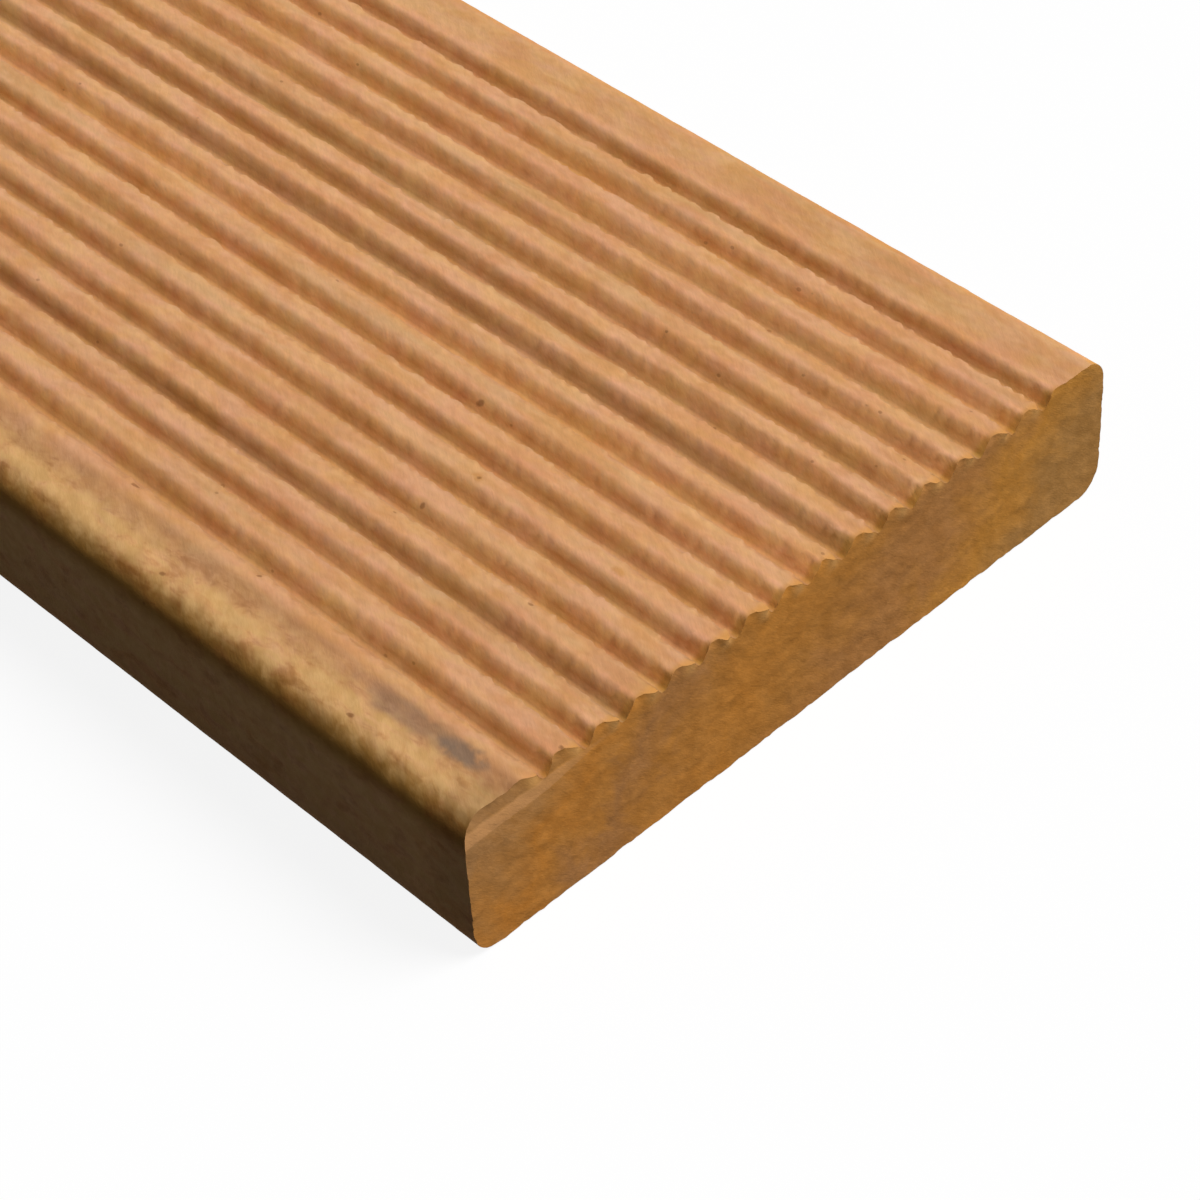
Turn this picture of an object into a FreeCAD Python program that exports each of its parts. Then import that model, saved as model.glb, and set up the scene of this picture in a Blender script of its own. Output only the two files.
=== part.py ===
import FreeCAD, Part
import math
import os

import Sketcher

# Decking board, one length of machined softwood stock.
# Frame: X along the length towards the saw-cut end in view, Y across the width, Z up.
# The origin is the middle of the underside.

# Driving dimensions: alias, value in millimetres, what it is
DIMENSIONS = [
    ("board_length", 1800.0, "stock length, square cut at both ends"),
    ("board_width", 145.0, "finished width"),
    ("board_thickness", 28.0, "finished thickness at the ridge crowns"),
    ("arris_radius", 5.0, "rounding of the four long edges"),
    ("least_margin", 16.0, "least distance from the board's side to a groove centre"),
    ("groove_pitch", 8.0, "spacing of the groove centres"),
    ("groove_depth", 2.4, "ridge crown down to groove root"),
    ("groove_root_radius", 0.6, "rounding of the groove root"),
    ("crown_flat", 2.4, "level strip left along the top of each ridge"),
    ("flank_angle", 50.0, "slope of a groove flank from level, in degrees"),
    ("cutter_overrun", 2.0, "height of the groove cutter above the face"),
]

# Sizes worked out from the sheet, as its formulas read them
EXTRA_GROOVES = (
    "floor((dimensions.board_width - 2 * dimensions.least_margin) / dimensions.groove_pitch)"
)
FIRST_GROOVE = EXTRA_GROOVES + " * dimensions.groove_pitch / 2"
HALF_MOUTH = "(dimensions.groove_pitch - dimensions.crown_flat) / 2"
ROOT_CENTRE_HEIGHT = (
    "dimensions.board_thickness - dimensions.groove_depth + dimensions.groove_root_radius"
)

NODE = "decking_board"


def make_sheet(doc):
    """Keep every driving dimension in one sheet, under its alias."""
    sheet = doc.addObject("Spreadsheet::Sheet", "dimensions")
    for row, (alias, value, note) in enumerate(DIMENSIONS, start=1):
        sheet.set("A%d" % row, alias)
        sheet.set("B%d" % row, str(value))
        sheet.set("C%d" % row, note)
        sheet.setAlias("B%d" % row, alias)
    doc.recompute()
    return sheet


def groove_count(sheet):
    """As many grooves as fit between the two plain margins."""
    grooved_width = sheet.board_width - 2 * sheet.least_margin
    return math.floor(grooved_width / sheet.groove_pitch) + 1


def section_sketch(body, name):
    """A sketch on the body's own plane square to the length.

    The sketch's X runs across the board and its Y runs up.
    """
    sketch = body.newObject("Sketcher::SketchObject", name)
    for plane in body.Origin.OriginFeatures:
        if plane.Role == "YZ_Plane":
            sketch.AttachmentSupport = (plane, "")
    sketch.MapMode = "FlatFace"
    return sketch


def line(start, end):
    return Part.LineSegment(FreeCAD.Vector(*start, 0), FreeCAD.Vector(*end, 0))


def arc(centre, radius, start_angle, end_angle):
    circle = Part.Circle(FreeCAD.Vector(*centre, 0), FreeCAD.Vector(0, 0, 1), radius)
    return Part.ArcOfCircle(circle, math.radians(start_angle), math.radians(end_angle))


def point(geometry, place):
    """A point of a piece of sketch geometry, as constraints number them."""
    return geometry, ("edge", "start", "end", "centre").index(place)


def sketch_origin():
    return point(-1, "start")


def constrain(sketch, kind, *parts):
    return sketch.addConstraint(Sketcher.Constraint(kind, *parts))


def bind(sketch, name, formula, kind, *parts):
    """Add a named dimension to the sketch and tie it to the sheet."""
    index = constrain(sketch, kind, *parts)
    sketch.renameConstraint(index, name)
    sketch.setExpression(".Constraints." + name, formula)


def draw_blank(sketch, sheet):
    """The planed blank: a rectangle on the underside, centred across the width."""
    half = sheet.board_width / 2
    top = sheet.board_thickness
    corners = [(-half, 0), (half, 0), (half, top), (-half, top)]
    sides = [line(a, b) for a, b in zip(corners, corners[1:] + corners[:1])]
    under, far, face, near = sketch.addGeometry(sides, False)
    for current, following in ((under, far), (far, face), (face, near), (near, under)):
        constrain(sketch, "Coincident", *point(current, "end"), *point(following, "start"))
    for level in (under, face):
        constrain(sketch, "Horizontal", level)
    for upright in (far, near):
        constrain(sketch, "Vertical", upright)
    under_ends = (*point(under, "start"), *point(under, "end"))
    far_ends = (*point(far, "start"), *point(far, "end"))
    constrain(sketch, "Symmetric", *under_ends, *sketch_origin())
    bind(sketch, "width", "dimensions.board_width", "DistanceX", *under_ends, 2 * half)
    bind(sketch, "thickness", "dimensions.board_thickness", "DistanceY", *far_ends, top)


def shoulder_radius(sheet):
    """Radius that joins the flank to the crown flat, tangent to both."""
    angle = math.radians(sheet.flank_angle)
    half_mouth = (sheet.groove_pitch - sheet.crown_flat) / 2
    root_rise = sheet.groove_root_radius * (1 - math.cos(angle))
    root_reach = sheet.groove_root_radius * math.sin(angle)
    spare = half_mouth - root_reach - (sheet.groove_depth - root_rise) / math.tan(angle)
    return spare / (math.sin(angle) - (1 - math.cos(angle)) / math.tan(angle))


def groove_outline(sheet, middle):
    """The groove cutter's outline, anticlockwise from its root.

    Root arc, flank, shoulder arc, then straight up past the face, and back down the
    other side. It is smooth from one ridge crown, through the root, to the next.
    """
    angle = sheet.flank_angle
    across = math.sin(math.radians(angle))
    up = math.cos(math.radians(angle))
    top = sheet.board_thickness
    clear = top + sheet.cutter_overrun
    root = sheet.groove_root_radius
    root_centre = (middle, top - sheet.groove_depth + root)
    shoulder = shoulder_radius(sheet)
    half_mouth = (sheet.groove_pitch - sheet.crown_flat) / 2
    right = middle + half_mouth
    left = middle - half_mouth

    def flank_foot(side):
        return middle + side * root * across, root_centre[1] - root * up

    def flank_head(side):
        return middle + side * (half_mouth - shoulder * across), top - shoulder + shoulder * up

    return [
        arc(root_centre, root, 270 - angle, 270 + angle),
        line(flank_foot(1), flank_head(1)),
        arc((right, top - shoulder), shoulder, 90, 90 + angle),
        line((right, top), (right, clear)),
        line((right, clear), (left, clear)),
        line((left, clear), (left, top)),
        arc((left, top - shoulder), shoulder, 90 - angle, 90),
        line(flank_head(-1), flank_foot(-1)),
    ]


def draw_groove(sketch, sheet):
    """The cutter for the groove nearest the board's side at negative Y."""
    first = (groove_count(sheet) - 1) * sheet.groove_pitch / 2
    outline = sketch.addGeometry(groove_outline(sheet, -first), False)
    root, right_flank, right_shoulder, right_side = outline[:4]
    lid, left_side, left_shoulder, left_flank = outline[4:]
    root_centre = point(root, "centre")
    right_crown = point(right_shoulder, "start")
    left_crown = point(left_shoulder, "end")

    constrain(sketch, "Tangent", *point(root, "end"), *point(right_flank, "start"))
    constrain(sketch, "Tangent", *point(right_flank, "end"), *point(right_shoulder, "end"))
    constrain(sketch, "Coincident", *right_crown, *point(right_side, "start"))
    constrain(sketch, "Coincident", *point(right_side, "end"), *point(lid, "start"))
    constrain(sketch, "Coincident", *point(lid, "end"), *point(left_side, "start"))
    constrain(sketch, "Coincident", *point(left_side, "end"), *left_crown)
    constrain(sketch, "Tangent", *point(left_shoulder, "start"), *point(left_flank, "start"))
    constrain(sketch, "Tangent", *point(left_flank, "end"), *point(root, "start"))

    constrain(sketch, "Vertical", right_side)
    constrain(sketch, "Vertical", left_side)
    constrain(sketch, "Horizontal", lid)
    # Each shoulder meets the crown level, so its centre lies straight below
    constrain(sketch, "Vertical", *right_crown, *point(right_shoulder, "centre"))
    constrain(sketch, "Vertical", *left_crown, *point(left_shoulder, "centre"))

    top = sheet.board_thickness
    half_mouth = (sheet.groove_pitch - sheet.crown_flat) / 2
    root_height = top - sheet.groove_depth + sheet.groove_root_radius
    slope = math.radians(sheet.flank_angle)
    right_side_ends = (*point(right_side, "start"), *point(right_side, "end"))
    bind(sketch, "first_groove", FIRST_GROOVE,
         "DistanceX", *root_centre, *sketch_origin(), first)
    bind(sketch, "root_centre_height", ROOT_CENTRE_HEIGHT,
         "DistanceY", *sketch_origin(), *root_centre, root_height)
    bind(sketch, "root_radius", "dimensions.groove_root_radius",
         "Radius", root, sheet.groove_root_radius)
    bind(sketch, "right_mouth", HALF_MOUTH,
         "DistanceX", *root_centre, *right_crown, half_mouth)
    bind(sketch, "left_mouth", HALF_MOUTH,
         "DistanceX", *left_crown, *root_centre, half_mouth)
    bind(sketch, "right_crown_height", "dimensions.board_thickness",
         "DistanceY", *sketch_origin(), *right_crown, top)
    bind(sketch, "left_crown_height", "dimensions.board_thickness",
         "DistanceY", *sketch_origin(), *left_crown, top)
    bind(sketch, "right_slope", "dimensions.flank_angle * 1 deg",
         "Angle", right_flank, slope)
    bind(sketch, "left_slope", "-dimensions.flank_angle * 1 deg",
         "Angle", left_flank, -slope)
    bind(sketch, "overrun", "dimensions.cutter_overrun",
         "DistanceY", *right_side_ends, sheet.cutter_overrun)


def long_edges(shape, length):
    """Names of the edges that run the whole length of the board."""
    names = []
    for number, edge in enumerate(shape.Edges, start=1):
        if math.isclose(edge.BoundBox.XLength, length):
            names.append("Edge%d" % number)
    return names


def make_board(doc, sheet):
    """Plane the blank, round its long edges, then cut the reeded face."""
    body = doc.addObject("PartDesign::Body", NODE)
    body.Label = NODE

    blank_sketch = section_sketch(body, "blank_section")
    draw_blank(blank_sketch, sheet)
    blank = body.newObject("PartDesign::Pad", "blank")
    blank.Profile = blank_sketch
    blank.Midplane = True
    blank.setExpression("Length", "dimensions.board_length")
    doc.recompute()

    arrises = body.newObject("PartDesign::Fillet", "arrises")
    arrises.Base = (blank, long_edges(blank.Shape, sheet.board_length))
    arrises.setExpression("Radius", "dimensions.arris_radius")
    doc.recompute()

    groove_sketch = section_sketch(body, "groove_section")
    draw_groove(groove_sketch, sheet)
    groove = body.newObject("PartDesign::Pocket", "groove")
    groove.Profile = groove_sketch
    groove.Type = "ThroughAll"
    groove.Midplane = True
    doc.recompute()

    reeding = body.newObject("PartDesign::LinearPattern", "reeding")
    reeding.Originals = [groove]
    reeding.Direction = (groove_sketch, ["H_Axis"])
    reeding.setExpression("Length", "2 * " + FIRST_GROOVE)
    reeding.setExpression("Occurrences", EXTRA_GROOVES + " + 1")
    body.Tip = reeding
    doc.recompute()

    check_cuts(arrises, groove, reeding, groove_count(sheet))
    return body


def check_cuts(arrises, groove, reeding, count):
    """Every groove must take away as much wood as the first one."""
    one_cut = arrises.Shape.Volume - groove.Shape.Volume
    all_cuts = arrises.Shape.Volume - reeding.Shape.Volume
    if one_cut <= 0:
        raise RuntimeError("the first groove cuts nothing")
    if not math.isclose(all_cuts, count * one_cut, rel_tol=1e-3):
        raise RuntimeError("the grooves do not all cut the face")


def check_document(doc, bodies):
    for item in doc.Objects:
        if "Invalid" in item.State or "Error" in item.State:
            raise RuntimeError("%s did not build: %s" % (item.Name, item.State))
    for body in bodies:
        if body.Shape.isNull() or not body.Shape.isValid():
            raise RuntimeError("%s has no valid shape" % body.Label)
        if len(body.Shape.Solids) != 1:
            raise RuntimeError("%s is not one solid" % body.Label)


def print_sizes(bodies):
    for body in bodies:
        box = body.Shape.BoundBox
        size = "%.2f x %.2f x %.2f mm" % (box.XLength, box.YLength, box.ZLength)
        print("%s: %s, %d faces" % (body.Label, size, len(body.Shape.Faces)))


def main():
    doc = FreeCAD.newDocument("decking_board_stock")
    sheet = make_sheet(doc)
    bodies = [make_board(doc, sheet)]
    check_document(doc, bodies)
    print_sizes(bodies)
    os.makedirs("parts", exist_ok=True)
    for body in bodies:
        body.Shape.exportStep("parts/%s.step" % body.Label)


main()
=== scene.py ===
import bpy
import numpy as np
from mathutils import Matrix, Vector
from mathutils.geometry import delaunay_2d_cdt


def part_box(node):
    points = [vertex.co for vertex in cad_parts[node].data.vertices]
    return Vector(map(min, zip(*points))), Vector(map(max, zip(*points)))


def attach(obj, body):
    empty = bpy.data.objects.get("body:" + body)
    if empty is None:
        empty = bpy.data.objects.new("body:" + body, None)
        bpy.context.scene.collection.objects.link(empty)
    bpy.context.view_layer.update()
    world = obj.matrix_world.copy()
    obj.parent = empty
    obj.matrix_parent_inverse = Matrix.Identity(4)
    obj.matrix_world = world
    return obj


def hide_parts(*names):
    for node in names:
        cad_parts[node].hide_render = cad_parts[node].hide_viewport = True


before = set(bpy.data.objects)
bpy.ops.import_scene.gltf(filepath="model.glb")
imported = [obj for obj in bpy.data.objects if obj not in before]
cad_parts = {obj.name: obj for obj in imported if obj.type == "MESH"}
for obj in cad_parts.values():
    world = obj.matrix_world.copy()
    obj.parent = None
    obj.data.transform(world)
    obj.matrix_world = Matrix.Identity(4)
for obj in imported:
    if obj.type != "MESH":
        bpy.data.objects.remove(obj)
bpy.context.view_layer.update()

# A length of reeded softwood decking lying on a pale studio floor.
# The board's skin is worked out in millimetres and turned into metres at the end.

mm = 0.001
boardLow, boardHigh = (np.array(corner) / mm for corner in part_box("decking_board"))
boardLength, boardWidth, boardThickness = boardHigh - boardLow

section = {
    "arrisRadius": 5.0,
    "grooveCount": 15,
    "groovePitch": 8.0,
    "grooveDepth": 2.4,
    "rootRadius": 0.6,
    "crownFlat": 2.4,
    "flankAngle": 50.0,  # degrees from level
    # For each groove, from the near side: how far it lies to the far side of its even
    # place, how much wider it is, and how light its near wall is painted beside the others,
    # painted shade for the differing light on each wall's slope
    "grooveOffsets": (0.45, 0.9, 0.5, 0.8, 0.8, 0.95, 0.9, 1.0, 0.8, 1.2, 1.0, 1.45, 1.3, 1.45, 1.25),
    "grooveWidenings": (0.1, -0.4, -0.2, -0.3, -0.2, 0, -0.4, 0.3, 0.4, 0.15, 0.4, 0.4, 0.45, 0.15, -0.1),
    "wallPaintedShades": (1.11, 1.15, 0.86, 1.16, 1.05, 1.07, 1.13, 1.24, 0.81, 1, 1.02, 1.1, 1.13, 1.22, 1.04),
    "wallPlace": 2.0,  # the widening holds this far from a groove's middle
    "grooveWander": 0.12,  # how far a groove strays sideways along the board
    "wanderLength": 90.0,
    "farFlankLean": 0.3,  # the walls that face the far side are this much steeper at the foot
    "crownSag": 0.08,  # how much some crowns are planed lower
    "sagLength": 60.0,
    "marginDrop": 0.45,  # the worn near margin lies this much lower
    "marginRise": (9.2, 12.8),  # where it rises to the first ridge, from the near side
}

mesh = {
    "pointsPerGroove": 24,  # every second point is left out beyond the fine zone
    "crowding": 0.09,  # how much they gather on the walls
    "marginPoints": 18,
    "arrisPoints": (16, 8),  # upper and lower
    "farSide": (36, 12),  # points, of which every twelfth stays beyond the fine zone
    "underside": (136, 17),
    "nearSide": (36, 9),
    "fineLength": 6.0,
    "fineSpacing": 0.36,
    "fineCrowding": 1.3,  # closer cross-sections by the cut
    "fineGap": 0.3,  # between the fine zone and the next cross-section
    "endSpacing": 0.46,  # between cross-sections past the fine zone
    "spacingGrowth": 0.0035,  # over the detailed stretch
    "detailedLength": 205.0,
    "farGrowth": 0.16,  # beyond it
    "widestSpacing": 40.0,
    "farEndSpacing": 0.8,
    "farEndGrowth": 0.4,
    "spacingSamples": 40001,
    "capSpacing": 0.75,
    "farCapSpacing": 3.0,
    "capJitter": 0.28,
}

relief = {
    # The height of a pattern, then its size along the board and round it
    "fuzz": (0.03, 1.7, 1.3),  # raised fibres
    "dents": (0.05, 6.0, 3.0),  # slower ones
    "planedDents": 0.4,  # share of them on the sides and underside
    "tear": (-0.1, 5.5, 1.3),  # slanting torn grain, which comes in patches
    "tearPatch": (1, 17, 9),
    "tearSlant": -34.0,  # degrees from the length
    "raggedNear": 0.36,  # sideways torn edges of the ridges, towards the near side
    "raggedFar": 0.62,  # and towards the far side
    "raggedSize": (1.3, 3.2, 0.8, 1.6),  # length and width, and those of finer tears
    "overhang": 0.3,  # most that a shoulder is torn out over its groove
    "uneven": 0.35,  # slower swelling of the ridges towards the near side
    "unevenLength": 24,
    "marginWear": (0.16, 2.9, 2.2),
    "wearFade": (12, 9),  # from the near side
    "pits": 8,
    "pitDepth": 0.2,
    "pitRadii": (0.3, 0.6),
    "pitStretch": 2.2,  # along the board
    "pitReach": 150,  # from the sawn end
    "skinDepth": 0.05,  # the relief lies this much lower than the plain board
    "seed": 7,
}

sawnEnd = {
    "inset": 0.3,  # foot of the cut, back from the board's full length
    "lean": 2.86,  # degrees that the cut leans back
    "reach": 3.0,  # the cross-sections take the cut's shape over this length
    "rough": 0.12,
    "burr": 0.52,  # torn tips on the ridges' far shoulders
    "burrPlace": 2.3,  # to the near side of a groove's middle
    "burrWidths": (1.2, 2.0),  # towards the near side
    "burrFarWidth": 0.45,
    "burrHeight": 3.2,
    "droop": 0.75,  # how far the torn tips bend down
    "droopReach": 0.9,
    "tipPlace": 2.2,
    "tipWidth": 1.3,
    "lip": 0.12,  # width of the narrow rim between the outline and the cut
    "crownLoss": 0.35,  # broken away from the near halves of the ridges' ends
    "crownLossHeight": 1.3,
    "cornerLoss": 1.0,  # broken away along the near corner's top edge
    "cornerHeight": 2.6,
    "cornerSpan": 8.0,  # whole as far as this from the near side
    "cornerReach": 34.0,
    "bevelHeight": 2.3,  # pale flat below the broken part
    "bevelDepth": 0.3,
    "jagged": (0.22, 2.0, 1.1),  # chipped outline of the cut: depth, length, width
    "jaggedReach": 1.5,
}


def smoothStep(low, high, value):
    # Rises from 0 to 1 between low and high, level at both ends
    t = np.clip((value - low) / (high - low), 0, 1)
    return t * t * (3 - 2 * t)


def valueNoise(u, v, seed):
    # Random lattice heights from -1 to 1, joined by a smooth curve in both directions
    size = 256
    lattice = np.random.default_rng(seed).uniform(-1, 1, (size, size))
    iu, iv = np.floor(u).astype(int), np.floor(v).astype(int)
    fu, fv = u - iu, v - iv
    su = fu * fu * fu * (fu * (fu * 6 - 15) + 10)
    sv = fv * fv * fv * (fv * (fv * 6 - 15) + 10)
    iu, iv, nextU, nextV = iu % size, iv % size, (iu + 1) % size, (iv + 1) % size
    a, b, c, d = lattice[iu, iv], lattice[nextU, iv], lattice[iu, nextV], lattice[nextU, nextV]
    return (a + (b - a) * su) * (1 - sv) + (c + (d - c) * su) * sv


def fractalNoise(u, v, seed, octaves=3):
    # Layers of value noise, each twice as fine and a little over half as strong
    total = np.zeros(np.broadcast(u, v).shape)
    for octave in range(octaves):
        total = total + valueNoise(u * 2 ** octave, v * 2 ** octave, seed + octave) * 0.55 ** octave
    return total


def bell(offset, width):
    # A smooth bump, 1 high in the middle and gone beyond about twice its width
    return np.exp(-(offset / width) ** 2)


def shoulderRadius():
    # The arc that is tangent to the flank and to the level crown
    angle = np.radians(section["flankAngle"])
    halfMouth = (section["groovePitch"] - section["crownFlat"]) / 2
    rootRise = section["rootRadius"] * (1 - np.cos(angle))
    spare = halfMouth - section["rootRadius"] * np.sin(angle)
    spare = spare - (section["grooveDepth"] - rootRise) / np.tan(angle)
    return spare / (np.sin(angle) - (1 - np.cos(angle)) / np.tan(angle))


def grooveDip(offset):
    # Depth below the crown at a distance from the groove's middle: root arc, straight
    # flank, shoulder arc, then zero along the crown
    angle = np.radians(section["flankAngle"])
    root, depth = section["rootRadius"], section["grooveDepth"]
    shoulder = shoulderRadius()
    halfMouth = (section["groovePitch"] - section["crownFlat"]) / 2
    u = np.abs(offset)
    onRoot = depth - root + np.sqrt(np.clip(root ** 2 - u ** 2, 0, None))
    onFlank = depth - root * (1 - np.cos(angle)) - (u - root * np.sin(angle)) * np.tan(angle)
    onShoulder = shoulder - np.sqrt(np.clip(shoulder ** 2 - (halfMouth - u) ** 2, 0, None))
    dip = np.where(u < root * np.sin(angle), onRoot, onFlank)
    dip = np.where(u > halfMouth - shoulder * np.sin(angle), onShoulder, dip)
    return np.where(u > halfMouth, 0, dip)


def grooveCentres():
    count, pitch = section["grooveCount"], section["groovePitch"]
    return (np.arange(count) - (count - 1) / 2) * pitch


def nearestGroove(y):
    # Signed distance to the middle of the nearest groove
    centres = grooveCentres()
    nearest = np.argmin(np.abs(y[:, None] - centres[None, :]), axis=1)
    return y - centres[nearest]


def laneShift(y):
    # How far the reeding lies to the far side of its even layout: each groove has an offset
    # of its own and is a little wider or narrower than the others, evened out between them
    offsets = np.array(section["grooveOffsets"])
    half = np.array(section["grooveWidenings"]) / 2
    walls = grooveCentres()[:, None] + section["wallPlace"] * np.array([-1, 1])
    return np.interp(y, walls.ravel(), np.stack([offsets - half, offsets + half], axis=1).ravel())


def tipShare(offset):
    # A bell on each ridge's far shoulder, where its end is torn to a tip
    return bell(offset + sawnEnd["tipPlace"], sawnEnd["tipWidth"])


def faceHeight(y):
    # Height of the reeded face: the full thickness less the nearest groove's dip
    return boardThickness - grooveDip(nearestGroove(y))


def arrisArc(cy, cz, start, points):
    # A quarter circle from an angle downwards, as rows of a point, its outward normal and
    # whether it stays beyond the fine zone
    radius = section["arrisRadius"]
    angle = np.radians(start - np.linspace(0, 90, points + 1)[1:])
    kept = np.arange(1, points + 1) % 2 == 0
    return np.stack([cy + radius * np.cos(angle), cz + radius * np.sin(angle),
                     np.cos(angle), np.sin(angle), kept], axis=1)


def straightRun(a, b, normal, points, step):
    # Even points from one corner to the next, in the same rows
    t = np.linspace(0, 1, points + 1)[1:, None]
    spots = np.array(a) * (1 - t) + np.array(b) * t
    kept = np.arange(1, points + 1)[:, None] % step == 0
    return np.hstack([spots, np.tile(normal, (points, 1)), kept])


def reededFace():
    # The face from the near arris to the far one, in the same rows: its height comes from
    # the grooves and its normals from the height's slope
    edge = boardWidth / 2 - section["arrisRadius"]
    centres = grooveCentres()
    halfSpan = centres[-1] + section["groovePitch"] / 2
    phase = np.linspace(-1, 1, mesh["pointsPerGroove"], endpoint=False)
    crowded = (phase - mesh["crowding"] * np.sin(2 * np.pi * phase)) * section["groovePitch"] / 2
    reeded = (centres[:, None] + crowded[None, :]).ravel()
    nearMargin = np.linspace(-edge, -halfSpan, mesh["marginPoints"], endpoint=False)
    farMargin = np.linspace(halfSpan, edge, mesh["marginPoints"] + 1)
    y = np.concatenate([nearMargin, reeded, farMargin])
    nudge = 0.01
    slope = (faceHeight(y + nudge) - faceHeight(y - nudge)) / (2 * nudge)
    kept = np.arange(len(y)) % 2 == 0
    return np.stack([y, faceHeight(y), -slope, np.ones(len(y)), kept], axis=1)


def sectionLoop():
    # The board's outline seen from the sawn end: along the face towards the far side, down
    # the far side, back along the underside and up the near side
    low, high = section["arrisRadius"], boardThickness - section["arrisRadius"]
    half = boardWidth / 2
    edge = half - section["arrisRadius"]
    upper, lower = mesh["arrisPoints"]
    face = reededFace()
    loop = np.vstack([
        face,
        arrisArc(edge, high, 90, upper),
        straightRun((half, high), (half, low), (1, 0), *mesh["farSide"]),
        arrisArc(edge, low, 0, lower),
        straightRun((edge, 0), (-edge, 0), (0, -1), *mesh["underside"]),
        arrisArc(-edge, low, -90, lower),
        straightRun((-half, low), (-half, high), (-1, 0), *mesh["nearSide"]),
        arrisArc(-edge, high, 180, upper)[:-1],
    ])
    loop[:, 2:4] /= np.linalg.norm(loop[:, 2:4], axis=1, keepdims=True)
    return loop, len(face)


def stationPlaces():
    # Distances from the sawn end in view: close in the fine zone, then in steps that grow
    # slowly over the detailed stretch and fast beyond it, and shrink near the other end
    start = mesh["fineLength"]
    places = np.linspace(start, boardLength, mesh["spacingSamples"])
    step = mesh["endSpacing"] + mesh["spacingGrowth"] * (places - start)
    beyond = np.clip(places - mesh["detailedLength"], 0, None)
    step = np.minimum(step + mesh["farGrowth"] * beyond, mesh["widestSpacing"])
    step = np.minimum(step, mesh["farEndSpacing"] + mesh["farEndGrowth"] * (boardLength - places))
    count = np.concatenate([[0], np.cumsum(np.diff(places) / step[1:])])
    coarse = np.interp(np.linspace(0, count[-1], int(count[-1]) + 1), count, places)
    rows = np.linspace(0, 1, int(start / mesh["fineSpacing"]), endpoint=False)
    return rows ** mesh["fineCrowding"] * (start - mesh["fineGap"]), coarse


def smallPits(away, around):
    # Dents scattered on the face: the sum of long small bells, most of them near the end
    rng = np.random.default_rng(relief["seed"] + 50)
    total = np.zeros(away.shape)
    for pit in range(relief["pits"]):
        place = rng.uniform(0, 1) ** 1.5 * relief["pitReach"] + 1.0
        across = rng.uniform(6, boardWidth - 4)
        size = rng.uniform(*relief["pitRadii"])
        depth = rng.uniform(0.4, 1.0) * relief["pitDepth"]
        total -= depth * bell(away - place, relief["pitStretch"] * size) * bell(around - across, size)
    return total


def layeredNoise(u, v, height, length, width, seed, octaves=2):
    # Layers of noise of a height, with patches of a length and a width in millimetres
    return height * fractalNoise(u / length, v / width, seed, octaves)


def surfaceRelief(away, around, onFace):
    # Outward height: fuzz, slower dents and slanting torn grain, by distance from the end
    # and distance around the section
    seed = relief["seed"]
    fuzz = layeredNoise(away, around, *relief["fuzz"], seed)
    dents = layeredNoise(away, around, *relief["dents"], seed + 11)
    slant = np.radians(relief["tearSlant"])
    along = away * np.cos(slant) + around * np.sin(slant)
    across = -away * np.sin(slant) + around * np.cos(slant)
    depth, *size = relief["tear"]
    torn = depth * smoothStep(0.1, 0.9, layeredNoise(along, across, 1, *size, seed + 23))
    patch = smoothStep(-0.2, 0.8, layeredNoise(away, around, *relief["tearPatch"], seed + 31))
    return np.where(onFace, fuzz + dents + torn * patch, 0.5 * fuzz + relief["planedDents"] * dents)


def endRoughness(y, z, seed):
    # How far a cut end's surface lies from the plane of the cut: saw roughness only
    coarse = layeredNoise(y, z, 0.6, 3.1, 2.3, seed, 3)
    fine = layeredNoise(y + z, z - y, 0.5, 1.9, 0.9, seed + 5)
    return sawnEnd["rough"] * (coarse + fine)


def cornerBreak(y, z):
    # Wood lost along the top edge by the near corner, fading out across the board: most
    # at the top, then a shallow bevel below it
    fade = 1 - smoothStep(sawnEnd["cornerSpan"], sawnEnd["cornerReach"], y + boardWidth / 2)
    ledge = boardThickness - sawnEnd["cornerHeight"]
    foot = ledge - sawnEnd["bevelHeight"] * fade
    bevel = np.clip((z - foot) / (ledge - foot + 0.01), 0, 1) * sawnEnd["bevelDepth"]
    broken = np.clip((z - ledge) / sawnEnd["cornerHeight"], 0, 1)
    return fade * (bevel + broken * (sawnEnd["cornerLoss"] - sawnEnd["bevelDepth"]))


def ridgeBurrs(y, z):
    # Torn tips on the far shoulder of each ridge: for each a bell of its own random height
    # and width, steeper towards the far side, and all thinning out downwards
    rng = np.random.default_rng(relief["seed"] + 70)
    out = np.zeros(y.shape)
    for centre in grooveCentres():
        tip = rng.uniform(0.55, 1.0) * sawnEnd["burr"]
        beside = y - centre + sawnEnd["burrPlace"] + rng.uniform(-0.15, 0.15)
        width = rng.uniform(*sawnEnd["burrWidths"])
        out += tip * bell(beside, np.where(beside < 0, width, sawnEnd["burrFarWidth"]))
    return out * np.clip(1 - (faceHeight(y) - z) / sawnEnd["burrHeight"], 0, 1)


def ridgeBreak(y, z):
    # Wood broken from the top of each ridge's end, slanting from the most at its near
    # shoulder to none at its far one, and thinning out downwards
    rng = np.random.default_rng(relief["seed"] + 80)
    loss = np.zeros(np.shape(y))
    for centre in grooveCentres():
        beside = y - centre
        share = rng.uniform(0.45, 1.0)
        loss += share * smoothStep(1.5, 2.4, beside) * smoothStep(6.0, 2.6, beside)
    chipped = 1 + 0.35 * valueNoise(y / 0.9, z / 2.0, 81)
    height = sawnEnd["crownLossHeight"]
    top = np.clip((z - boardThickness + height) / height, 0, 1)
    return loss * chipped * sawnEnd["crownLoss"] * top


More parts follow.
